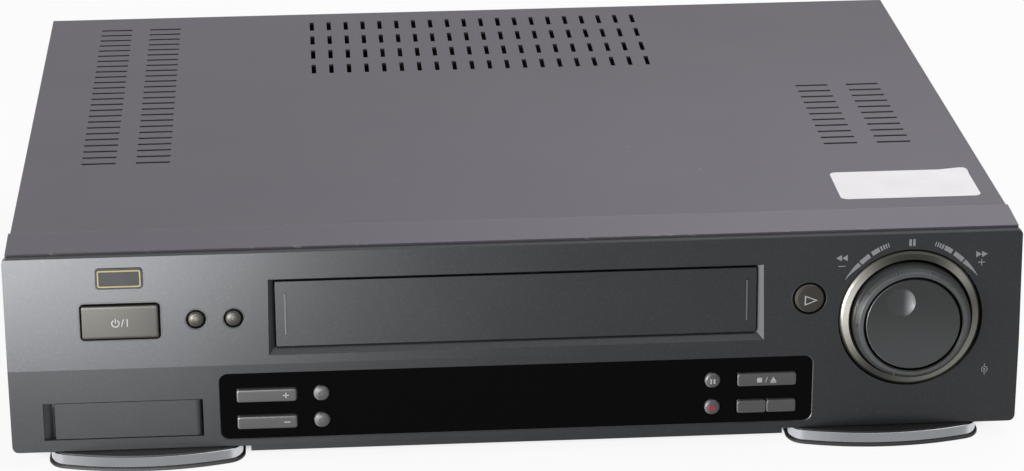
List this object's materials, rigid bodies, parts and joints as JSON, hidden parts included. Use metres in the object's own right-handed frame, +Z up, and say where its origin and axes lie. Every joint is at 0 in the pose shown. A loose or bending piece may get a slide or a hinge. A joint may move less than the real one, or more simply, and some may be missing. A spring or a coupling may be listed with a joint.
{
  "type": "video cassette recorder",
  "caption": "Front-loading video cassette recorder: painted sheet cover, grey front with cassette door, dark window, keys, jog and shuttle dial, input flap and bright-banded feet.",
  "frame": {"origin": "on the floor, under the middle of the machine's outer box", "axes": "+X to the right seen from the front, +Y from the front to the rear, +Z up"},
  "size_m": [0.4, 0.347, 0.09],
  "materials": {
    "cover_paint": "fine-textured satin paint",
    "front_plastic": "satin metallic grey",
    "window_plastic": "smooth dark smoked",
    "bright_key": "champagne grey metallic",
    "grey_key": "satin",
    "ring_metal": "satin champagne",
    "dial_plastic": "satin",
    "black_plastic": "matte",
    "foot_bright": "bright",
    "plated_steel": "plated",
    "circuit_board": "lacquered",
    "head_metal": "turned",
    "roller_rubber": "matte",
    "reel_plastic": "matte",
    "panel_steel": "plain grey"
  },
  "bodies": {
    "chassis": {"top_cover": "cover_paint", "bottom_chassis": "black_plastic", "rear_panel": "panel_steel", "front_fascia": "front_plastic", "display_window": "window_plastic", "dial_ring": "ring_metal", "dial_encoder": "black_plastic", "left_foot": "black_plastic", "right_foot": "black_plastic", "foot_trims": "foot_bright", "rear_feet": "black_plastic", "cover_screws": "black_plastic", "key_board": "circuit_board", "display_board": "circuit_board", "dial_board": "circuit_board", "display_tube": "window_plastic", "input_pocket": "black_plastic", "front_sockets": "black_plastic", "main_board": "circuit_board", "board_parts": "black_plastic", "power_board": "circuit_board", "power_transformer": "black_plastic", "heat_sink": "plated_steel", "tuner_can": "plated_steel", "scart_sockets": "black_plastic", "audio_sockets": "black_plastic", "mains_inlet": "black_plastic", "deck_plate": "plated_steel", "deck_screws": "plated_steel", "left_bracket": "plated_steel", "right_bracket": "plated_steel", "lower_drum": "head_metal", "capstan_motor": "black_plastic", "tape_heads": "head_metal"},
    "door": {"cassette_door": "front_plastic"},
    "flap": {"input_flap": "front_plastic"},
    "standby_button": {"standby_key": "bright_key"},
    "timer_button": {"timer_key": "bright_key"},
    "sound_button": {"sound_key": "bright_key"},
    "play_button": {"play_key": "bright_key"},
    "channel_up_button": {"channel_up_key": "grey_key"},
    "channel_down_button": {"channel_down_key": "grey_key"},
    "picture_button": {"picture_key": "grey_key"},
    "link_button": {"link_key": "grey_key"},
    "pause_button": {"pause_key": "grey_key"},
    "record_button": {"record_key": "grey_key"},
    "stop_eject_button": {"stop_eject_key": "grey_key"},
    "insert_button": {"insert_key": "grey_key"},
    "dub_button": {"dub_key": "grey_key"},
    "shuttle": {"shuttle_ring": "dial_plastic"},
    "jog": {"jog_dial": "dial_plastic"},
    "holder": {"cassette_holder": "plated_steel"},
    "supply_turntable": {"supply_reel": "reel_plastic"},
    "takeup_turntable": {"takeup_reel": "reel_plastic"},
    "head_drum": {"upper_drum": "head_metal"},
    "capstan_rotor": {"capstan": "head_metal"},
    "pinch": {"pinch_arm": "plated_steel"},
    "pinch_wheel": {"pinch_roller": "roller_rubber"},
    "left_guide_base": {"left_guide": "head_metal"},
    "right_guide_base": {"right_guide": "head_metal"}
  },
  "joints": [
    {"name": "door_hinge", "type": "hinge", "parent": "chassis", "child": "door", "pos_m": [0, -0.1601, 0.0788], "axis": [1, 0, 0], "range_deg": [0, 80], "stiffness_Nm_per_rad": 0.01, "springref_deg": -17.19},
    {"name": "flap_hinge", "type": "hinge", "parent": "chassis", "child": "flap", "pos_m": [-0.1271, -0.16217, 0.01951], "axis": [0, -0.0645, 0.9979], "range_deg": [0, 90]},
    {"name": "standby_press", "type": "slide", "parent": "chassis", "child": "standby_button", "axis": [0, 1, 0], "range_m": [0, 0.001], "stiffness_N_per_m": 300, "springref_m": -0.001},
    {"name": "timer_press", "type": "slide", "parent": "chassis", "child": "timer_button", "axis": [0, 1, 0], "range_m": [0, 0.001], "stiffness_N_per_m": 300, "springref_m": -0.001},
    {"name": "sound_press", "type": "slide", "parent": "chassis", "child": "sound_button", "axis": [0, 1, 0], "range_m": [0, 0.001], "stiffness_N_per_m": 300, "springref_m": -0.001},
    {"name": "play_press", "type": "slide", "parent": "chassis", "child": "play_button", "axis": [0, 1, 0], "range_m": [0, 0.001], "stiffness_N_per_m": 300, "springref_m": -0.001},
    {"name": "channel_up_press", "type": "slide", "parent": "chassis", "child": "channel_up_button", "axis": [0, 0.9979, 0.0645], "range_m": [0, 0.001], "stiffness_N_per_m": 300, "springref_m": -0.001},
    {"name": "channel_down_press", "type": "slide", "parent": "chassis", "child": "channel_down_button", "axis": [0, 0.9979, 0.0645], "range_m": [0, 0.001], "stiffness_N_per_m": 300, "springref_m": -0.001},
    {"name": "picture_press", "type": "slide", "parent": "chassis", "child": "picture_button", "axis": [0, 0.9979, 0.0645], "range_m": [0, 0.001], "stiffness_N_per_m": 300, "springref_m": -0.001},
    {"name": "link_press", "type": "slide", "parent": "chassis", "child": "link_button", "axis": [0, 0.9979, 0.0645], "range_m": [0, 0.001], "stiffness_N_per_m": 300, "springref_m": -0.001},
    {"name": "pause_press", "type": "slide", "parent": "chassis", "child": "pause_button", "axis": [0, 0.9979, 0.0645], "range_m": [0, 0.001], "stiffness_N_per_m": 300, "springref_m": -0.001},
    {"name": "record_press", "type": "slide", "parent": "chassis", "child": "record_button", "axis": [0, 0.9979, 0.0645], "range_m": [0, 0.001], "stiffness_N_per_m": 300, "springref_m": -0.001},
    {"name": "stop_eject_press", "type": "slide", "parent": "chassis", "child": "stop_eject_button", "axis": [0, 0.9979, 0.0645], "range_m": [0, 0.001], "stiffness_N_per_m": 300, "springref_m": -0.001},
    {"name": "insert_press", "type": "slide", "parent": "chassis", "child": "insert_button", "axis": [0, 0.9979, 0.0645], "range_m": [0, 0.001], "stiffness_N_per_m": 300, "springref_m": -0.001},
    {"name": "dub_press", "type": "slide", "parent": "chassis", "child": "dub_button", "axis": [0, 0.9979, 0.0645], "range_m": [0, 0.001], "stiffness_N_per_m": 300, "springref_m": -0.001},
    {"name": "shuttle_turn", "type": "hinge", "parent": "chassis", "child": "shuttle", "pos_m": [0.15609, -0.1655, 0.0524], "axis": [0, 1, 0], "range_deg": [-75, 75], "stiffness_Nm_per_rad": 0.02},
    {"name": "jog_turn", "type": "hinge", "parent": "chassis", "child": "jog", "pos_m": [0.15609, -0.1655, 0.0524], "axis": [0, 1, 0], "continuous": true},
    {"name": "holder_slide", "type": "slide", "parent": "chassis", "child": "holder", "axis": [0, 1, 0], "range_m": [0, 0.084]},
    {"name": "supply_spin", "type": "hinge", "parent": "chassis", "child": "supply_turntable", "pos_m": [-0.0462, -0.0645, 0.0216], "axis": [0, 0, 1], "continuous": true},
    {"name": "takeup_spin", "type": "hinge", "parent": "chassis", "child": "takeup_turntable", "pos_m": [0.0462, -0.0645, 0.0216], "axis": [0, 0, 1], "continuous": true},
    {"name": "drum_spin", "type": "hinge", "parent": "chassis", "child": "head_drum", "pos_m": [0, 0.0385, 0.0336], "axis": [0, -0.1045, 0.9945], "continuous": true},
    {"name": "capstan_spin", "type": "hinge", "parent": "chassis", "child": "capstan_rotor", "pos_m": [0.066, -0.0015, 0.02], "axis": [0, 0, 1], "continuous": true},
    {"name": "pinch_swing", "type": "hinge", "parent": "chassis", "child": "pinch", "pos_m": [0.096, 0.0165, 0.0216], "axis": [0, 0, 1], "range_deg": [0, 27.6]},
    {"name": "pinch_roll", "type": "hinge", "parent": "pinch", "child": "pinch_wheel", "pos_m": [0.06816, 0.01952, 0.0276], "axis": [0, 0, 1], "continuous": true},
    {"name": "left_guide_run", "type": "slide", "parent": "chassis", "child": "left_guide_base", "axis": [-0.2676, 0.9635, 0], "range_m": [0, 0.056]},
    {"name": "right_guide_run", "type": "slide", "parent": "chassis", "child": "right_guide_base", "axis": [0.2676, 0.9635, 0], "range_m": [0, 0.056]}
  ],
  "couplings": [
    {"joint": "right_guide_run", "follows": "left_guide_run", "ratio": 1}
  ]
}
